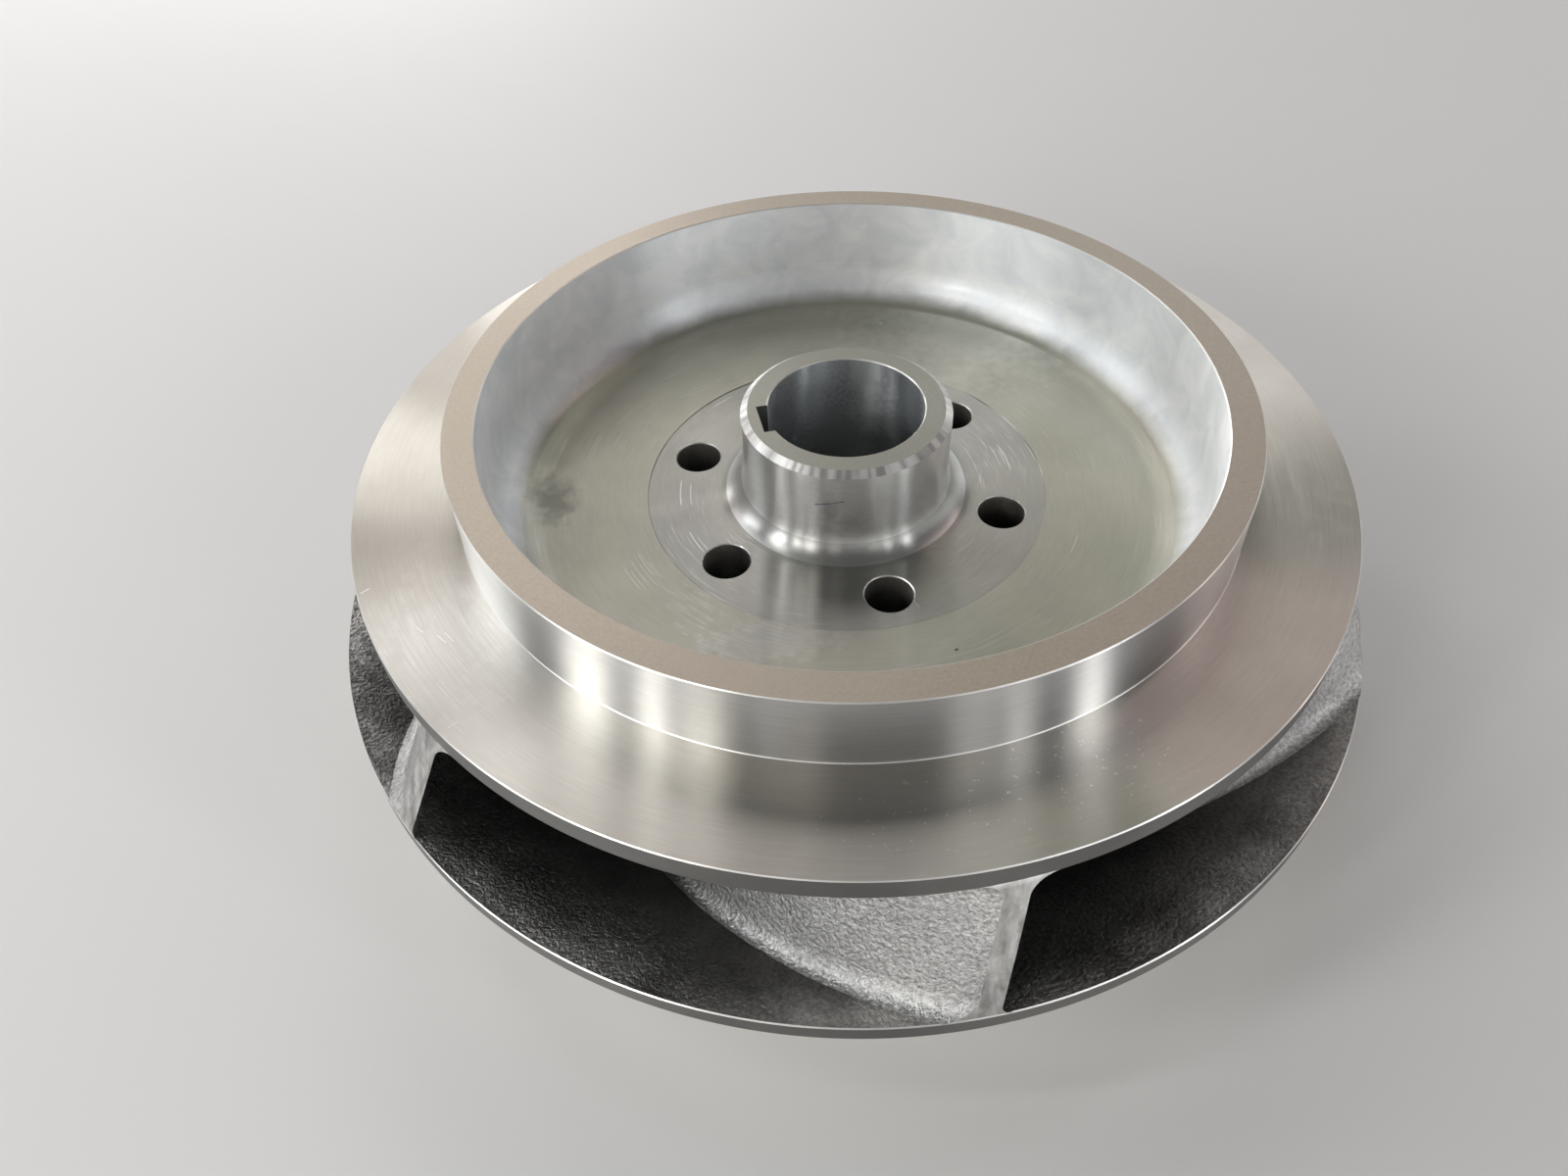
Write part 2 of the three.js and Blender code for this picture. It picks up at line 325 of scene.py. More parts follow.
    def add_marks_and_painted_light(self, polar, base, r, marks=(), arcs=(), spots=(), scuffs=(), dots=()):
        """Adds marks (start, end, width, colour), arcs (radius, first angle, last angle, width, strength),
        spots (centre, half sizes, colour, strength), scuffs (centre, half sizes, strength) and patches of
        dots (centre, half sizes) to a colour and roughness. Some arcs are painted highlights and a spot can
        be a painted reflection."""
        for start, end, width, shade in marks:
            mask = self.stroke(start, end, width)
            base = self.mix(mask, base, (*shade, 1))
            r = self.math("ADD", r, self.math("MULTIPLY", mask, 0.25))
        for radius, first, last, width, strength in arcs:
            mask = self.math("MULTIPLY", self.arc_line(polar, radius, first, last, width), strength)
            base = self.mix(mask, base, (*PALE, 1))
            r = self.math("ADD", r, self.math("MULTIPLY", mask, 0.2))
        for centre, radii, shade, strength in spots:
            mask = self.math("MULTIPLY", self.spot(centre, radii), strength)
            base = self.mix(mask, base, (*shade, 1))
            r = self.math("ADD", r, self.math("MULTIPLY", mask, 0.2))
        for centre, radii, strength in scuffs:
            lines = self.ramp(self.rings(polar, 1.2, 8.0, 2.0), 0.38, 0.68)
            patch = self.math("MULTIPLY", lines, self.spot(centre, radii, 0.5))
            mask = self.math("MULTIPLY", patch, strength)
            base = self.mix(mask, base, (*PALE, 1))
            r = self.math("ADD", r, self.math("MULTIPLY", mask, 0.25))
        if dots:
            grain = self.ramp(self.noise(self.position(), 420.0, 1.0, 0.5), 0.70, 0.73)
        for centre, radii in dots:
            base = self.mix(self.math("MULTIPLY", grain, self.spot(centre, radii)), base, (*PALE, 1))
        return base, r

    def along_grooves(self, polar, anisotropy):
        """Tangent round the axis, so that highlights spread across the turned grooves."""
        v = self.add("ShaderNodeCombineXYZ")
        self.join(self.math("MULTIPLY", polar["s"], -1.0), v.inputs[0])
        self.join(polar["c"], v.inputs[1])
        turn_to_world = self.add("ShaderNodeVectorTransform", vector_type="VECTOR",
                                 convert_from="OBJECT", convert_to="WORLD")
        self.join(v.outputs[0], turn_to_world.inputs[0])
        self.join(turn_to_world.outputs[0], self.shader.inputs["Tangent"])
        self.shader.inputs["Anisotropic"].default_value = anisotropy
        self.shader.inputs["Anisotropic Rotation"].default_value = 0.25

    def bump(self, height, strength, distance, normal=None):
        node = self.add("ShaderNodeBump")
        self.join(height, node.inputs["Height"])
        node.inputs["Strength"].default_value = strength
        node.inputs["Distance"].default_value = distance
        if normal is not None:
            self.join(normal, node.inputs["Normal"])
        return node.outputs["Normal"]


def turned_steel(name, color, tint, rough, spread, anisotropy, groove, scratches=0.0, brush=0.0,
                 metallic=1.0, frosted=False, painted_hole_shade=None, **marks_with_painted_light):
    """Turned surface, its grooves running round the axis. Its colour wanders to the tint and its roughness
    by the spread. Brush is the contrast of the feed marks. The painted hole shade darkens it between two
    heights, as painted shade in a hole, given as the low and high one and the brightness at each. The
    remaining keywords go to the marks, some of which are painted light."""
    n = Nodes(name)
    p = n.polar()
    cloud = n.noise(n.position(), 16.0, 4.0, 0.6)
    base = n.mix(n.ramp(cloud, 0.35, 0.7), (*color, 1), (*tint, 1))
    if brush:
        dashes = n.rings(p, 0.9, 10.0, 2.0)
        base = n.vector("SCALE", base, scale=n.ramp(dashes, 0.3, 0.7, 1 - brush, 1 + brush))
    # Painted shade: darker towards the bottom of the hole.
    if painted_hole_shade:
        base = n.vector("SCALE", base, scale=n.ramp(p["z"], *painted_hole_shade))
    bands = n.rings(p, 9.0, 0.5)
    r = n.math("ADD", n.ramp(bands, 0.3, 0.7, rough - spread, rough + spread),
               n.ramp(cloud, 0.4, 0.75, 0.0, 0.04))
    if scratches:
        lines = n.ramp(n.rings(p, 1.1, 5.0, 1.0), 0.60, 0.70)
        where = n.ramp(n.noise(n.position(), 17.0, 2.0), 0.46, 0.60)
        scratched = n.math("MULTIPLY", n.math("MULTIPLY", lines, where), scratches)
        base = n.mix(scratched, base, (0.93, 0.92, 0.89, 1))
        r = n.math("ADD", r, n.math("MULTIPLY", scratched, 0.12))
    base, r = n.add_marks_and_painted_light(p, base, r, **marks_with_painted_light)
    if frosted:
        base, r, relief = frost(n, p, base, r)
    n.join(base, n.shader.inputs["Base Color"])
    n.join(r, n.shader.inputs["Roughness"])
    n.shader.inputs["Metallic"].default_value = metallic
    n.along_grooves(p, anisotropy)
    normal = n.bump(n.rings(p, 2.4, 0.3, 1.0), groove, 0.0002)
    if frosted:
        normal = n.bump(relief, 0.25, 0.0012, normal)
    n.join(normal, n.shader.inputs["Normal"])
    return n.material


def bore_steel():
    """Coarser turned grooves, which throw the light of the room up and down the bore."""
    n = Nodes("bore_steel")
    p = n.polar()
    mottle = n.noise(n.position(), 320.0, 4.0, 0.65)
    where = n.ramp(n.noise(n.position(), 26.0, 2.0), 0.42, 0.62)
    stain = n.math("MULTIPLY", n.ramp(mottle, 0.46, 0.62), where)
    base = n.mix(stain, (0.76, 0.79, 0.80, 1), (0.44, 0.47, 0.47, 1))
    # Painted shade: the bore darkens from its top down to 0.3 of its colour at 100 mm and below.
    painted_bore_shade = n.ramp(p["z"], 100.0, 180.0, 0.3, 1.0)
    n.join(n.vector("SCALE", base, scale=painted_bore_shade), n.shader.inputs["Base Color"])
    rough = n.ramp(n.rings(p, 5.0, 0.5), 0.3, 0.7, 0.285, 0.305)
    n.join(n.math("ADD", rough, n.math("MULTIPLY", stain, 0.10)), n.shader.inputs["Roughness"])
    n.along_grooves(p, 0.92)
    n.join(n.bump(n.rings(p, 1.1, 1.2), 0.12, 0.0002), n.shader.inputs["Normal"])
    return n.material


def edge_steel(name, chatter_depth, contrast=0.0):
    """Bright broken edges. A chattering tool leaves short flats round them."""
    n = Nodes(name)
    p = n.polar()
    chatter = n.rings(p, 40.0, 13.0, 1.0)
    color = (0.86, 0.85, 0.82)
    if contrast:
        shade = n.ramp(chatter, 0.40, 0.60, 1 - contrast, 1.0)
        n.join(n.vector("SCALE", color, scale=shade), n.shader.inputs["Base Color"])
    else:
        n.shader.inputs["Base Color"].default_value = (*color, 1)
    n.shader.inputs["Metallic"].default_value = 0.7
    n.join(n.ramp(chatter, 0.3, 0.7, 0.30, 0.42), n.shader.inputs["Roughness"])
    n.along_grooves(p, 0.5)
    n.join(n.bump(chatter, 0.5, chatter_depth), n.shader.inputs["Normal"])
    return n.material


def frost(n, p, base, r):
    """Turns a finish into the frosted one of the dish's wall, over the fillet. Gives colour, roughness and
    relief."""
    patches = n.noise(n.position(), 34.0, 6.0, 0.64, distortion=0.8)
    grain = n.noise(n.position(), 420.0, 3.0, 0.6)
    streaks = n.rings(p, 3.2, 5.0)
    frosted = n.ramp(n.math("ADD", p["r"], n.ramp(patches, 0.3, 0.7, -0.8, 0.8)), 203.0, 212.0)
    wall = n.mix(n.ramp(patches, 0.38, 0.66), (0.80, 0.825, 0.84, 1), (0.93, 0.935, 0.93, 1))
    wall_r = n.math("ADD", n.ramp(patches, 0.35, 0.7, 0.46, 0.56), n.ramp(streaks, 0.3, 0.8, -0.04, 0.05))
    wall, wall_r = n.add_marks_and_painted_light(p, wall, wall_r, spots=WALL_SMEARS, dots=WALL_DOTS)
    # A pale line at the turning tool's step above the fillet: the step is real, its brightness a painted
    # highlight.
    tool_step_highlight = n.ramp(n.math("ABSOLUTE", n.math("SUBTRACT", p["z"], 178.8)), 0.4, 0.9, 1.0, 0.0)
    tool_step_highlight = n.math("MULTIPLY", tool_step_highlight, n.ramp(patches, 0.42, 0.56))
    wall = n.mix(n.math("MULTIPLY", tool_step_highlight, 0.7), wall, (*PALE, 1))
    base = n.mix(frosted, base, wall)
    r = n.math("ADD", r, n.math("MULTIPLY", frosted, n.math("SUBTRACT", wall_r, r)))
    relief = n.math("ADD", patches, n.math("MULTIPLY", grain, 0.1))
    return base, r, n.math("MULTIPLY", relief, frosted)


def cast_steel(name, dark, light, shade_full_r, shade_from_r, rim=0.0, root=0.0, patches=()):
    """Blasted cast skin, its pebbles rubbed brighter. Painted shade darkens it inside the passages: fully
    within the first of the two radii, and not at all beyond the second. The rim and root values are how
    much painted light brightens it at the outer rim and, as a painted highlight, along the vanes' foot on
    the front shroud. Dark patches are given by their centre, half sizes and strength."""
    n = Nodes(name)
    p = n.polar()
    pos = n.position()
    pebble = n.noise(pos, 430.0, 3.0, 0.58, distortion=0.15)
    grain = n.noise(pos, 1100.0, 2.0, 0.6)
    stains = n.noise(pos, 14.0, 5.0, 0.6)
    base = n.mix(n.ramp(stains, 0.35, 0.7), (*dark, 1), (*light, 1))
    # Pebble tone, times painted shade that darkens the skin towards the inside of the passages.
    pebble_tone_and_painted_light = n.math("MULTIPLY", n.ramp(pebble, 0.34, 0.66, 0.75, 1.3),
                   n.ramp(p["r"], shade_full_r, shade_from_r, 0.3, 1.0))
    # Painted highlight: lighter along the vanes' foot on the front shroud, where the fillet catches the
    # light.
    if root:
        # At d mm from its rim, the front shroud's wall lies about 0.349 d + 0.00284 d * d lower.
        inward = n.math("SUBTRACT", FRONT_WALL[0][0], p["r"])
        drop = n.math("MULTIPLY", inward, n.math("ADD", n.math("MULTIPLY", inward, 0.00284), 0.349))
        above = n.math("ADD", n.math("SUBTRACT", p["z"], FRONT_WALL[0][1]), drop)
        foot = n.math("MULTIPLY", n.ramp(above, 0.5, 3.5), n.ramp(above, 5.0, 13.0, 1.0, 0.0))
        foot = n.math("MULTIPLY", foot, n.ramp(p["r"], 305.0, 322.0, 1.0, 0.35))
        pebble_tone_and_painted_light = n.math("MULTIPLY", pebble_tone_and_painted_light, n.math("ADD", n.math("MULTIPLY", foot, root), 1.0))
    # Painted light: lighter towards the outer rim, out of the back shroud's shade.
    if rim:
        edge = n.math("ADD", p["r"], n.ramp(stains, 0.3, 0.7, -8.0, 8.0))
        pebble_tone_and_painted_light = n.math("MULTIPLY", pebble_tone_and_painted_light, n.ramp(edge, 303.0, 324.0, 1.0, 1.0 + rim))
    for centre, radii, strength in patches:
        stain = n.math("MULTIPLY", n.spot(centre, radii, 0.5), -strength)
        pebble_tone_and_painted_light = n.math("MULTIPLY", pebble_tone_and_painted_light, n.math("ADD", stain, 1.0))
    n.join(n.vector("SCALE", base, scale=pebble_tone_and_painted_light), n.shader.inputs["Base Color"])
    n.join(n.ramp(pebble, 0.3, 0.7, 0.34, 0.54), n.shader.inputs["Roughness"])
    first = n.bump(pebble, 1.0, 0.002)
    n.join(n.bump(grain, 0.35, 0.0006, first), n.shader.inputs["Normal"])
    return n.material


def matt_steel():
    """Faces turned with a fine feed, which scatter the light evenly."""
    n = Nodes("matt_turned_steel")
    p = n.polar()
    grain = n.noise(n.position(), 700.0, 3.0, 0.65)
    fine = n.rings(p, 0.8, 2.0)
    speckle = n.ramp(grain, 0.3, 0.7)
    hub = n.mix(speckle, (0.323, 0.322, 0.274, 1), (0.39, 0.393, 0.337, 1))
    ring = n.mix(speckle, (0.475, 0.42, 0.347, 1), (0.576, 0.511, 0.427, 1))
    n.join(n.mix(n.ramp(p["r"], 64.0, 200.0), hub, ring), n.shader.inputs["Base Color"])
    n.join(n.ramp(grain, 0.3, 0.7, 0.46, 0.56), n.shader.inputs["Roughness"])
    n.shader.inputs["Metallic"].default_value = 0.85
    n.along_grooves(p, 0.35)
    first = n.bump(fine, 0.15, 0.0003)
    n.join(n.bump(grain, 0.2, 0.0003, first), n.shader.inputs["Normal"])
    return n.material


def tip_steel():
    """Vane ends, turned with the rim and then ground by hand."""
    n = Nodes("vane_end_steel")
    p = n.polar()
    swirl = n.noise(n.position(), 60.0, 3.0, 0.6, distortion=2.0)
    strokes = n.noise(n.vector("MULTIPLY", n.position(), (1.0, 1.0, 0.06)), 150.0, 3.0, 0.55)
    base = n.mix(n.ramp(swirl, 0.35, 0.65), (0.44, 0.435, 0.42, 1), (0.58, 0.575, 0.56, 1))
    shade = n.ramp(strokes, 0.36, 0.64, 0.65, 1.35)
    n.join(n.vector("SCALE", base, scale=shade), n.shader.inputs["Base Color"])
    n.join(n.ramp(swirl, 0.3, 0.7, 0.34, 0.44), n.shader.inputs["Roughness"])
    n.along_grooves(p, 0.5)
    n.join(n.bump(n.rings(p, 0.7, 1.5), 0.15, 0.0002), n.shader.inputs["Normal"])
    return n.material


# Marks on the surfaces, in the forms that the marking method of Nodes takes. The land's arcs are painted
# highlights and one dish spot is a painted reflection.
PALE = (0.95, 0.94, 0.90)
PEN_MARKS = (
    ((-32.7, -55.0, 187.8), (-25.4, -58.7, 189.7), 0.9, (0.10, 0.10, 0.22)),
    ((-25.4, -58.7, 189.7), (-17.4, -61.6, 192.0), 0.7, (0.16, 0.16, 0.30)),
)
HUB_STAINS = (
    ((-26.5, -58.3, 184), (6, 6, 15), (0.30, 0.30, 0.29), 0.55),
    ((-14, -62.4, 176), (9, 6, 7), (0.34, 0.34, 0.33), 0.4),
    ((18, -61.4, 180), (8, 6, 16), (0.40, 0.40, 0.39), 0.35),
)
# Pale arcs on the land: painted highlights along its turned grooves.
LAND_HIGHLIGHT_ARCS = (
    (105.4, 163, 177.5, 0.9, 0.8), (99.0, 165, 178, 0.8, 0.7), (106.0, -170, -158, 0.8, 0.75),
    (103.2, -166, -158, 0.6, 0.5), (107.0, -8, 7, 0.8, 0.6), (101.5, -6, 8, 0.6, 0.4),
    (110.0, 60, 74, 0.7, 0.4),
)
FLOOR_ARCS = (
    (153.0, -165, -156, 0.7, 0.32), (150.5, -163, -155, 0.6, 0.28), (147.0, -166, -157, 0.7, 0.30),
    (143.5, -164, -154, 0.6, 0.28), (141.0, -168, -158, 0.7, 0.34), (138.0, -163, -156, 0.6, 0.25),
    (148.0, -40, -33, 0.8, 0.3), (156.0, -96, -88, 0.8, 0.25),
)
DISH_COLORS = (0.445, 0.44, 0.37), (0.39, 0.39, 0.325)
LAND_COLORS = (0.385, 0.382, 0.348), (0.338, 0.336, 0.307)
# A darker patch on the left, where the dish floor meets its wall.
DISH_FOOT_DARK_PATCH = ((-184, 31, 151), (17, 26, 30), (0.24, 0.24, 0.20), 0.7)
WALL_SMEARS = (
    ((-84, 201, 199), (34, 16, 9), (0.95, 0.95, 0.94), 0.6),
    ((-52, 212, 216), (24, 10, 6), (0.95, 0.95, 0.94), 0.5),
    ((-112, 187, 181), (36, 20, 6), (0.95, 0.95, 0.94), 0.6),
)
WALL_DOTS = (((12, 217, 196), (48, 10, 20)), ((-34, 215, 202), (22, 10, 12)))
FLOOR_MARKS = (
    ((70.6, 167.5, 150.5), (71.6, 167.5, 150.5), 1.6, PALE),
    ((23.5, -150.5, 150.5), (24.5, -150.3, 150.5), 1.6, (0.14, 0.13, 0.11)),
)
RIM_MARKS = (
    ((-292.2, -54.6, 180), (-288.0, -52.2, 180), 1.1, PALE),
    ((-246.5, -161.0, 180), (-242.0, -158.5, 180), 0.8, PALE),
    ((-262.0, -88.0, 180), (-258.5, -93.0, 180), 0.6, PALE),
    ((-251.0, -97.0, 180), (-246.5, -103.5, 180), 0.5, PALE),
    ((-247.0, -96.0, 180), (-243.0, -103.0, 180), 0.5, PALE),
)
DISH_SPOTS_AND_SHEEN = (
    DISH_FOOT_DARK_PATCH,
    ((-74, -117, 150.5), (46, 18, 20), (0.90, 0.89, 0.84), 0.3),
    # Painted reflection: the back right of the dish floor made paler, where it shines with light from behind.
    ((128, 142, 152), (96, 72, 30), (0.72, 0.73, 0.66), 0.5),
)
DISH_SCUFFS = (((-74, -117, 150.5), (46, 20, 20), 0.6), ((-112, -84, 150.5), (14, 24, 20), 0.3))
RIM_SCUFFS = (((-243, -95, 180), (40, 60, 20), 0.35), ((228, -100, 180), (50, 50, 20), 0.2))
RIM_DOTS = (((-20, -262, 180), (70, 34, 20)), ((50, -255, 180), (60, 30, 20)))
LAND_MARKS = (((12.2, -108, 150), (13.6, -114.7, 150), 1.0, PALE),)

# In the order of the material slots.
MATERIALS = [
    turned_steel("turned_steel", (0.69, 0.665, 0.61), (0.62, 0.595, 0.54), rough=0.288, spread=0.006,
                 anisotropy=0.99, groove=0.03, brush=0.045, marks=RIM_MARKS,
                 arcs=[(291.5, -149, -145, 0.8, 0.3)], scuffs=RIM_SCUFFS, dots=RIM_DOTS),
    matt_steel(),
    # The front shroud's skin: darker colours than the vanes' same cast skin, painted shade under the back
    # shroud.
    cast_steel("cast_steel", (0.14, 0.135, 0.13), (0.32, 0.315, 0.30), shade_full_r=235.0, shade_from_r=305.0, rim=1.3,
               patches=[((-304, -66, 84), (46, 96, 40), 0.55)]),
    turned_steel("dish_steel", *DISH_COLORS, rough=0.290, spread=0.006, anisotropy=0.98, groove=0.04,
                 scratches=0.15, brush=0.05, metallic=0.7, marks=FLOOR_MARKS, arcs=FLOOR_ARCS,
                 spots=DISH_SPOTS_AND_SHEEN, scuffs=DISH_SCUFFS),
    turned_steel("dish_wall_steel", *DISH_COLORS, rough=0.290, spread=0.006, anisotropy=0.78, groove=0.04,
                 scratches=0.15, brush=0.05, metallic=0.7, frosted=True, spots=[DISH_FOOT_DARK_PATCH]),
    turned_steel("bright_steel", (0.83, 0.825, 0.81), (0.77, 0.765, 0.75), rough=0.285, spread=0.004,
                 anisotropy=0.99, groove=0.02, scratches=0.08, brush=0.05),
    bore_steel(),
    edge_steel("chattered_edge_steel", chatter_depth=0.0008, contrast=0.35),
    tip_steel(),
    turned_steel("land_steel", *LAND_COLORS, rough=0.290, spread=0.006, anisotropy=0.99, groove=0.05,
                 scratches=0.3, brush=0.055, metallic=0.85, arcs=LAND_HIGHLIGHT_ARCS, marks=LAND_MARKS),
    edge_steel("edge_steel", chatter_depth=0.0001),
    # The vanes' skin: painted shade deeper in the passages, and a painted highlight along each vane's foot.
    cast_steel("vane_cast_steel", (0.46, 0.455, 0.45), (0.60, 0.595, 0.585), shade_full_r=222.0, shade_from_r=268.0,
               root=0.5),
    # The rims' outer faces: darker than the turned steel beside them, painted shade for the dark surroundings
    # they face.
    turned_steel("rim_side_steel_painted_shade", (0.23, 0.225, 0.215), (0.18, 0.175, 0.17), rough=0.36, spread=0.03,
                 anisotropy=0.85, groove=0.05),
    # Drilled holes: painted shade darkens them below 149 mm, to a tenth of their colour at 122 mm.
    turned_steel("drilled_steel", (0.66, 0.64, 0.58), (0.44, 0.425, 0.39), rough=0.44, spread=0.05,
                 anisotropy=0.3, groove=0.5, scratches=0.2, brush=0.2, painted_hole_shade=(122.0, 149.0, 0.10, 1.0)),
    turned_steel("hub_foot_steel", (0.66, 0.655, 0.63), (0.60, 0.595, 0.57), rough=0.288, spread=0.006,
                 anisotropy=0.90, groove=0.05, scratches=0.1, brush=0.055, metallic=0.9),
    # The hub's wall: bright_steel made lighter still, painted light.
    turned_steel("hub_steel_painted_light", (0.94, 0.93, 0.91), (0.87, 0.86, 0.84), rough=0.285, spread=0.004,
                 anisotropy=0.99, groove=0.02, scratches=0.08, brush=0.06, marks=PEN_MARKS,
                 spots=HUB_STAINS),
]


# Hub, shrouds and rings.

# Middle and size of the keyway's box, in metres.
KEYWAY_AT, KEYWAY_SIZE = (-0.0264, 0, 0.12), (0.0529, 0.025, 0.22)


def curve(points, start, end, steps):
    return [tuple(float(v) for v in q) for q in bezier(points, np.linspace(start, end, steps + 1))]


def make_hub():
    foot = arc(LAND_FOOT_R, 168, 18, -98.5, -180, 22)
    foot = [(SPLIT_R, foot[0][1]), *foot[1:]]
    rows = walk(
        (TURNED, [(BORE_R, NOSE_Z + 1), (BORE_R + 1, NOSE_Z), (NOSE_R, NOSE_Z)]),
        (CAST, [(NOSE_R, NOSE_Z), *curve(HUB_WALL, 1.0, SPLIT_T, 8)[1:]]),
        (TURNED, [(SPLIT_R, SPLIT_Z), foot[0]]),
        (LAND, foot[:4]),
        (FOOT, foot[3:16]),
        (NECK, foot[15:]),
        (NECK, guarded([foot[-1], (HUB_R, CHAMFER_Z)])),
        (CHAMFER, [(HUB_R, CHAMFER_Z), (HUB_FACE_R, HUB_Z)]),
        (MATT, guarded([(HUB_FACE_R, HUB_Z), (48.1, HUB_Z)])),
        (EDGE, [(48.1, HUB_Z), (BORE_R, 211.4)]),
        (BORE, guarded([(BORE_R, 211.4), (BORE_R, NOSE_Z + 1)])),
    )
    hub = turn("hub_boss", rows, SEGMENTS)
    bpy.ops.mesh.primitive_cube_add(size=1)
    keyway = bpy.context.object
    keyway.data.transform(Matrix.Translation(KEYWAY_AT) @ Matrix.Diagonal((*KEYWAY_SIZE, 1)))
    for material in MATERIALS:
        keyway.data.materials.append(material)
    keyway.data.polygons.foreach_set("material_index", [SIDE] * 6)
    carve(hub, [keyway])
    smooth(hub)
    return hub


def hole_cutter(azimuth, count=64):
    """Closed mesh of a balance hole, with its broken upper edge."""
    a = math.radians(azimuth)
    profile = [(HOLE_R, 55.0), (HOLE_R, 149.4), (HOLE_MOUTH_R, 150.4), (HOLE_MOUTH_R, 160.0)]
    mesh = bpy.data.meshes.new("hole")
    bm = bmesh.new()
    loops = []
    for r, z in profile:
        loops.append([bm.verts.new((
            (HOLE_PITCH_R * math.cos(a) + r * math.cos(2 * math.pi * i / count)) * MM,
            (HOLE_PITCH_R * math.sin(a) + r * math.sin(2 * math.pi * i / count)) * MM,
            z * MM)) for i in range(count)])
    for lower, upper in zip(loops, loops[1:]):
        for i in range(count):
            j = (i + 1) % count
            f = bm.faces.new((lower[i], lower[j], upper[j], upper[i]))
            f.material_index = EDGE if lower is loops[1] else DRILLED
    bm.faces.new(loops[0][::-1])
    bm.faces.new(loops[-1])
    bm.to_mesh(mesh)
    bm.free()
    return place("hole", mesh)


def make_back_shroud():
    dish = arc(190, 178.5, 28, 0, -90, 30)
    rows = walk(
        (CAST, curve(HUB_WALL, SPLIT_T, 0.0, 44)),
        (SIDE, guarded([(BACK_R, BACK_LOW), (BACK_R, 179.4)])),
        (EDGE, [(BACK_R, 179.4), (299.4, BACK_Z)]),
        (TURNED, guarded([(299.4, BACK_Z), (237.5, BACK_Z)])),
        (TURNED, [(237.5, BACK_Z), (RING_IN, BACK_Z)]),
        (WALL, [(RING_IN, BACK_Z), *dish[:24]]),
        (DISH, dish[23:]),
        (DISH, guarded([dish[-1], (126.2, DISH_Z)])),
        (LAND, [(126.2, DISH_Z), (LAND_R, LAND_Z)]),
        (LAND, guarded([(LAND_R, LAND_Z), (LAND_FOOT_R, LAND_Z)])),
        (LAND, [(LAND_FOOT_R, LAND_Z), (SPLIT_R, 150.2), (SPLIT_R, SPLIT_Z)]),
    )
    shroud = turn("back_shroud_disc", rows, SEGMENTS)
    carve(shroud, [hole_cutter(30 + 360 // HOLES * k) for k in range(HOLES)])
    smooth(shroud)
    return shroud


def make_balance_ring():
    rows = walk(
        (TURNED, [(RING_IN, BACK_Z), (237.45, BACK_Z)]),
        (EDGE, [(237.45, BACK_Z), (RING_OUT, 180.45)]),
        (BRIGHT, guarded([(RING_OUT, 180.45), (RING_OUT, 225.9)])),
        (EDGE, [(RING_OUT, 225.9), (236.4, RING_Z)]),
        (MATT, guarded([(236.4, RING_Z), (218.6, RING_Z)])),
        (EDGE, [(218.6, RING_Z), (RING_IN, 226.0)]),
        (WALL, [(RING_IN, 226.0), (RING_IN, BACK_Z)]),
    )
    ring = turn("balance_ring_wall", rows, SEGMENTS)
    smooth(ring)
    return ring


def make_front_shroud():
    rows = walk(
        (TURNED, guarded([(NECK_IN, NECK_Z), (NECK_OUT, NECK_Z)])),
        (TURNED, curve(FRONT_OUT, 1.0, 0.0, 22)),
        (SIDE, guarded([(FRONT_R, FRONT_LOW), (FRONT_R, 89.4)])),
        (EDGE, [(FRONT_R, 89.4), (327.3, 90.0)]),
        (CAST, [(327.3, 90.0), *curve(FRONT_WALL, 0.02, 1.0, 40)]),
        step=4.0,
    )
    shroud = turn("front_shroud_cone", rows, FINE_SEGMENTS)
    smooth(shroud)
    return shroud


def make_eye_ring():
    rows = walk(
        (TURNED, guarded([(EYE_IN, 0), (243.4, 0)])),
        (TURNED, [(243.4, 0), (EYE_OUT, 0.6)]),
        (TURNED, guarded([(EYE_OUT, 0.6), (EYE_OUT, NECK_Z)])),
        (TURNED, [(EYE_OUT, NECK_Z), (NECK_IN, NECK_Z)]),
        (CAST, [(NECK_IN, NECK_Z), (228.3, 16), (226.3, 8), (224.3, 1.2), (EYE_IN, 0)]),
        step=5.0,
    )
    ring = turn("eye_ring_wall", rows, FINE_SEGMENTS)
    smooth(ring)
    return ring


# Vanes.

# Degrees: where the first vane's end lies on the hub's and on the front wall, and the blade angles at the
# end, at the hub and at the eye.
TIP_ANGLES = (-89.4, -92.6)
BETA_TIP, BETA_HUB, BETA_EYE = 28.0, 54.0, 36.0
# How far in along the two walls the vanes reach.
HUB_END, FRONT_END = 12 / 20, 12 / 14
VANES = 6
VANE_MAX_R = 327.8
# Fillets of a vane's two faces at the hub's and the front wall: height and width of each, in millimetres.
FILLETS = {1: ((11, 6.5), (5, 3.5)), -1: ((10, 6.5), (12, 8.0))}
# Distances from a wall where the fillets need points, in millimetres.
FILLET_ROWS = np.array([-1.2, 0.05, 0.25, 0.6, 1.1, 1.8, 2.7, 3.9, 5.4, 7.2, 9.2])
MIDDLE_ROWS = 30


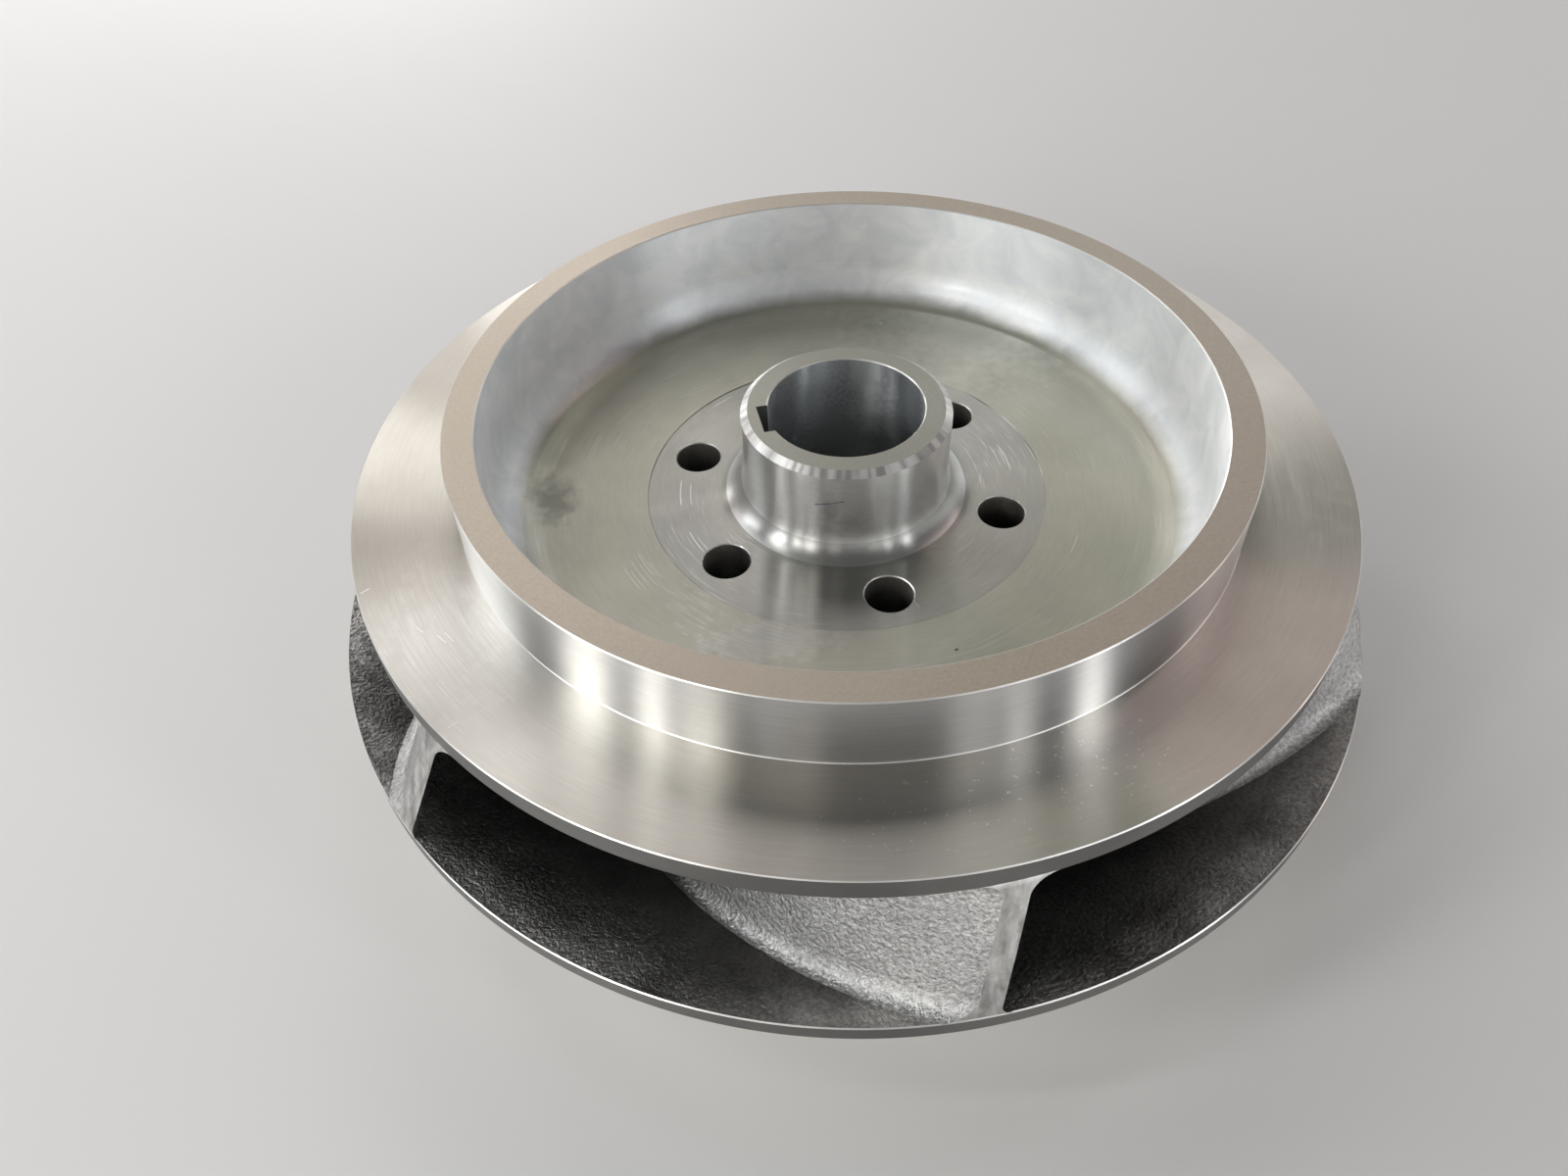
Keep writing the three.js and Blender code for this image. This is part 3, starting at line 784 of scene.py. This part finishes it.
def wrap(wall, end, start, beta_end):
    """Smooth functions of the vane's middle angle and blade angle along a wall, from the tip inwards."""
    p = bezier(wall, np.linspace(0, end, 13))
    u = np.linspace(0, 1, 13)
    beta = np.radians(BETA_TIP + (beta_end - BETA_TIP) * u)
    run = np.hypot(*np.diff(p, axis=0).T)
    radius = (p[1:, 0] + p[:-1, 0]) / 2
    angle = math.radians(start) - np.concatenate([[0], np.cumsum(run / (radius * np.tan(beta[1:])))])
    fit = np.polyfit(u, angle, 6)
    return lambda v: (np.polyval(fit, v), np.radians(BETA_TIP + (beta_end - BETA_TIP) * v))


def flare(d, height, width):
    """How far a fillet stands out of the vane's face at a distance from the wall."""
    f = np.clip(1 - np.clip(d, 0.05, None) / height, 0, 1)
    return width * (1 - np.sqrt(1 - f * f))


def vane_faces(k):
    """Points of vane k's two faces, from its end inwards and from the hub to the front shroud."""
    hub = wrap(HUB_WALL, HUB_END, TIP_ANGLES[0], BETA_HUB)
    eye = wrap(FRONT_WALL, FRONT_END, TIP_ANGLES[1], BETA_EYE)
    u = np.concatenate([np.linspace(0, 0.93, 130), np.linspace(0.93, 1, 14)[1:]])
    a = bezier(HUB_WALL, u * HUB_END)
    b = bezier(FRONT_WALL, u * FRONT_END)
    height = np.hypot(*(a - b).T)
    ha, hb = hub(u), eye(u)
    thick = 6 + 3 * np.sin(0.8 * math.pi * u)
    nose = np.clip((u - 0.955) / 0.045, 0, 1)
    thick = thick * np.sqrt(np.clip(1 - nose ** 2, 0.0, 1)) + 0.2
    turn_k = -math.radians(360 // VANES * k)
    sides = []
    for side, (at_hub, at_front) in FILLETS.items():
        columns = []
        for i in range(len(u)):
            h = height[i]
            d = np.concatenate([FILLET_ROWS, np.linspace(11.2, h - 11.2, MIDDLE_ROWS), h - FILLET_ROWS[::-1]])
            s = d / h
            r = a[i, 0] + (b[i, 0] - a[i, 0]) * s
            z = a[i, 1] + (b[i, 1] - a[i, 1]) * s
            angle = ha[0][i] + (hb[0][i] - ha[0][i]) * s
            beta = ha[1][i] + (hb[1][i] - ha[1][i]) * s
            half = thick[i] / 2 + (flare(d, *at_hub) + flare(h - d, *at_front))
            t = angle + side * half / (r * np.sin(beta)) + turn_k
            columns.append(np.stack([r * np.cos(t), r * np.sin(t), z], 1) * MM)
        sides.append(np.array(columns))
    return sides


def make_vane(k):
    right, left = vane_faces(k)
    n, m = right.shape[:2]
    ring = np.concatenate([right, left[:, ::-1]], axis=1)
    count = ring.shape[1]
    # Cast skin: both faces of the vane move along their own normals, except at the trimmed tip.
    du = np.gradient(ring, axis=0)
    dv = np.roll(ring, -1, axis=1) - np.roll(ring, 1, axis=1)
    normal = np.cross(dv, du)
    normal /= np.maximum(np.linalg.norm(normal, axis=2, keepdims=True), 1e-12)
    for i in range(1, n):
        fade = min(1.0, i / 3)
        for j in range(count):
            co = Vector(ring[i, j])
            d = lumps(co, VANE_LUMPS) + VANE_GRIT * noise.noise(co * GRIT_WAVES)
            ring[i, j] += normal[i, j] * d * fade
    beyond = np.hypot(ring[..., 0], ring[..., 1]) / (VANE_MAX_R * MM)
    ring[..., :2] /= np.maximum(beyond, 1.0)[..., None]
    verts = [tuple(v) for v in ring.reshape(-1, 3)]
    faces, slots = [], []
    for i in range(n - 1):
        for j in range(count):
            j2 = (j + 1) % count
            faces.append((i * count + j, i * count + j2, (i + 1) * count + j2, (i + 1) * count + j))
            slots.append(VANE)
    base = (n - 1) * count
    for j in range(m - 1):
        q = count - 1 - j
        faces.append((j, q, q - 1, j + 1))
        slots.append(TIP)
        faces.append((base + j, base + j + 1, base + q - 1, base + q))
        slots.append(VANE)
    mesh = bpy.data.meshes.new(f"vane_{k + 1}_blade")
    mesh.from_pydata(verts, [], faces)
    mesh.polygons.foreach_set("material_index", slots)
    piece = place(f"vane_{k + 1}_blade", mesh)
    smooth(piece, 40)
    return piece


def carry(piece, slot, *nodes):
    """Puts a piece on the body, in place of its CAD nodes."""
    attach(piece, BODY)
    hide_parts(*nodes)


carry(make_hub(), "machined_hub", "hub")
carry(make_back_shroud(), "machined_shroud", "back_shroud")
carry(make_balance_ring(), "machined_ring", "balance_ring")
for k in range(VANES):
    carry(make_vane(k), "cast_vane", f"vane_{k + 1}")
carry(make_front_shroud(), "cast_shroud", "front_shroud")
carry(make_eye_ring(), "machined_ring", "eye_ring")


# Floor, light and camera, in metres. The camera is the photograph's, fitted to the part's circles.

FLOOR_SIZE = 14
LAMP_REACH, LAMP_AIM = 3.2, (0, 0, 0.15)
IMAGE_WIDTH, FOCAL_LENGTH, SENSOR_WIDTH = 1600.0, 1174.0, 36.0
CAMERA_AT = (-0.14497, -0.53729, 0.6366)
CAMERA_PAN, CAMERA_TILT, CAMERA_ROLL = 10.76, 46.30, -2.54


def make_floor():
    bpy.ops.mesh.primitive_plane_add(size=FLOOR_SIZE)
    floor = bpy.context.object
    floor.name = "floor"
    n = Nodes("pale_floor")
    n.shader.inputs["Base Color"].default_value = (0.80, 0.795, 0.78, 1)
    n.shader.inputs["Metallic"].default_value = 0.0
    n.shader.inputs["Roughness"].default_value = 0.75
    floor.data.materials.append(n.material)


def add_light(name, position, target, size, power, color=(1, 1, 1)):
    light = bpy.data.lights.new(name, "AREA")
    light.shape = "RECTANGLE"
    light.size, light.size_y = size
    light.energy = power
    light.color = color
    lamp = bpy.data.objects.new(name, light)
    lamp.location = position
    lamp.rotation_euler = (Vector(target) - Vector(position)).to_track_quat("-Z", "Y").to_euler()
    bpy.context.scene.collection.objects.link(lamp)


def strip(name, azimuth, wide, low, high, brightness, color=(1, 1, 1)):
    """Soft box, given by the angles that it covers as seen from the object."""
    middle = math.radians((low + high) / 2)
    width = 2 * LAMP_REACH * math.tan(math.radians(wide / 2)) * math.cos(middle)
    height = 2 * LAMP_REACH * math.tan(math.radians((high - low) / 2))
    a = math.radians(azimuth)
    target = Vector(LAMP_AIM)
    away = Vector((math.cos(a) * math.cos(middle), math.sin(a) * math.cos(middle), math.sin(middle)))
    add_light(name, target + LAMP_REACH * away, target, (width, height), brightness * width * height, color)


# Azimuth, width, lowest and highest elevation in degrees, brightness in W/m2, colour.
SOFT_BOXES = [
    (117.5, 5.0, 2, 34, 16.7, (1.0, 0.99, 0.97)),
    (132.5, 15.0, 34, 60, 3.4, (0.9, 0.92, 1.0)),
    (127.5, 5.0, 34, 60, 10.2, (1.0, 0.99, 0.99)),
    (137.5, 15.0, 16, 34, 1.5, (1.0, 0.84, 0.8)),
    (147.5, 5.0, 16, 34, 17.7, (0.98, 0.99, 1.0)),
    (157.5, 15.0, 16, 34, 14.0, (0.93, 0.97, 1.0)),
    (177.5, 5.0, 34, 60, 28.1, (0.98, 0.99, 1.0)),
    (187.5, 5.0, 16, 34, 32.0, (0.99, 0.99, 1.0)),
    (192.5, 5.0, 16, 34, 31.0, (0.99, 1.0, 1.0)),
    (207.5, 5.0, 16, 34, 40.0, (1.0, 1.0, 0.99)),
    (212.5, 5.0, 2, 16, 37.1, (1.0, 1.0, 0.99)),
    (220.0, 10.0, 16, 34, 20.7, (1.0, 0.99, 0.97)),
    (225.0, 10.0, 16, 34, 6.6, (1.0, 0.98, 0.9)),
    (237.5, 5.0, 2, 16, 9.5, (1.0, 1.0, 0.98)),
    (262.5, 55.0, 2, 16, 3.2, (1.0, 0.96, 0.94)),
    (245.0, 10.0, 16, 34, 3.9, (1.0, 0.96, 0.92)),
    (285.0, 10.0, 2, 34, 2.7, (1.0, 1.0, 0.97)),
    (290.0, 20.0, 2, 16, 6.4, (0.94, 0.97, 1.0)),
    (297.5, 5.0, 16, 34, 15.0, (0.99, 0.99, 1.0)),
    (315.0, 10.0, 16, 34, 5.1, (0.9, 0.92, 1.0)),
    (312.5, 5.0, 2, 16, 44.0, (0.99, 0.99, 1.0)),
    (317.5, 5.0, 16, 34, 19.1, (0.97, 0.98, 1.0)),
    (346.0, 12.0, 2, 16, 7.6, (1.0, 0.86, 0.83)),
    (10.0, 12.0, 2, 16, 5.6, (0.94, 1.0, 0.97)),
    (22.0, 12.0, 34, 60, 6.1, (1.0, 0.8, 0.8)),
    (34.0, 12.0, 2, 16, 7.7, (1.0, 1.0, 0.98)),
    (46.0, 12.0, 16, 34, 3.4, (0.94, 0.91, 1.0)),
    (58.0, 12.0, 16, 34, 3.4, (0.8, 0.86, 1.0)),
    (58.0, 12.0, 34, 60, 2.4, (0.98, 1.0, 0.8)),
    (80.0, 30.0, 30, 60, 4.2, (1.0, 0.97, 0.99)),
    (98.0, 44.0, 34, 60, 1.2, (1.0, 0.9, 0.8)),
    (90.5, 29.0, 2, 34, 1.0, (0.8, 0.83, 1.0)),
    (96.5, 17.0, 2, 16, 26.0, (1.0, 0.99, 0.99)),
    (101.5, 27.0, 2, 34, 2.3, (1.0, 0.95, 0.9)),
]


def make_light():
    world = bpy.data.worlds.new("studio")
    world.use_nodes = True
    background = world.node_tree.nodes["Background"]
    background.inputs["Color"].default_value = (0.96, 0.98, 1.0, 1)
    background.inputs["Strength"].default_value = 0.05
    bpy.context.scene.world = world
    bpy.context.scene.view_settings.view_transform = "Standard"
    for k, box in enumerate(SOFT_BOXES):
        strip(f"soft_box_{k + 1}", *box)


def make_camera():
    data = bpy.data.cameras.new("camera")
    data.sensor_fit = "HORIZONTAL"
    data.sensor_width = SENSOR_WIDTH
    data.lens = FOCAL_LENGTH / IMAGE_WIDTH * SENSOR_WIDTH
    data.clip_end = 50.0
    camera = bpy.data.objects.new("camera", data)
    pan, tilt, roll = (math.radians(v) for v in (CAMERA_PAN, CAMERA_TILT, CAMERA_ROLL))
    forward = Vector((math.sin(pan) * math.cos(tilt), math.cos(pan) * math.cos(tilt), -math.sin(tilt)))
    right = Vector((math.cos(pan), -math.sin(pan), 0))
    up = right.cross(forward)
    x = math.cos(roll) * right + math.sin(roll) * up
    y = -math.sin(roll) * right + math.cos(roll) * up
    turn_to = Matrix((x, y, -forward)).transposed().to_4x4()
    camera.matrix_world = Matrix.Translation(CAMERA_AT) @ turn_to
    bpy.context.scene.collection.objects.link(camera)
    bpy.context.scene.camera = camera


make_floor()
make_light()
make_camera()

bpy.context.view_layer.update()
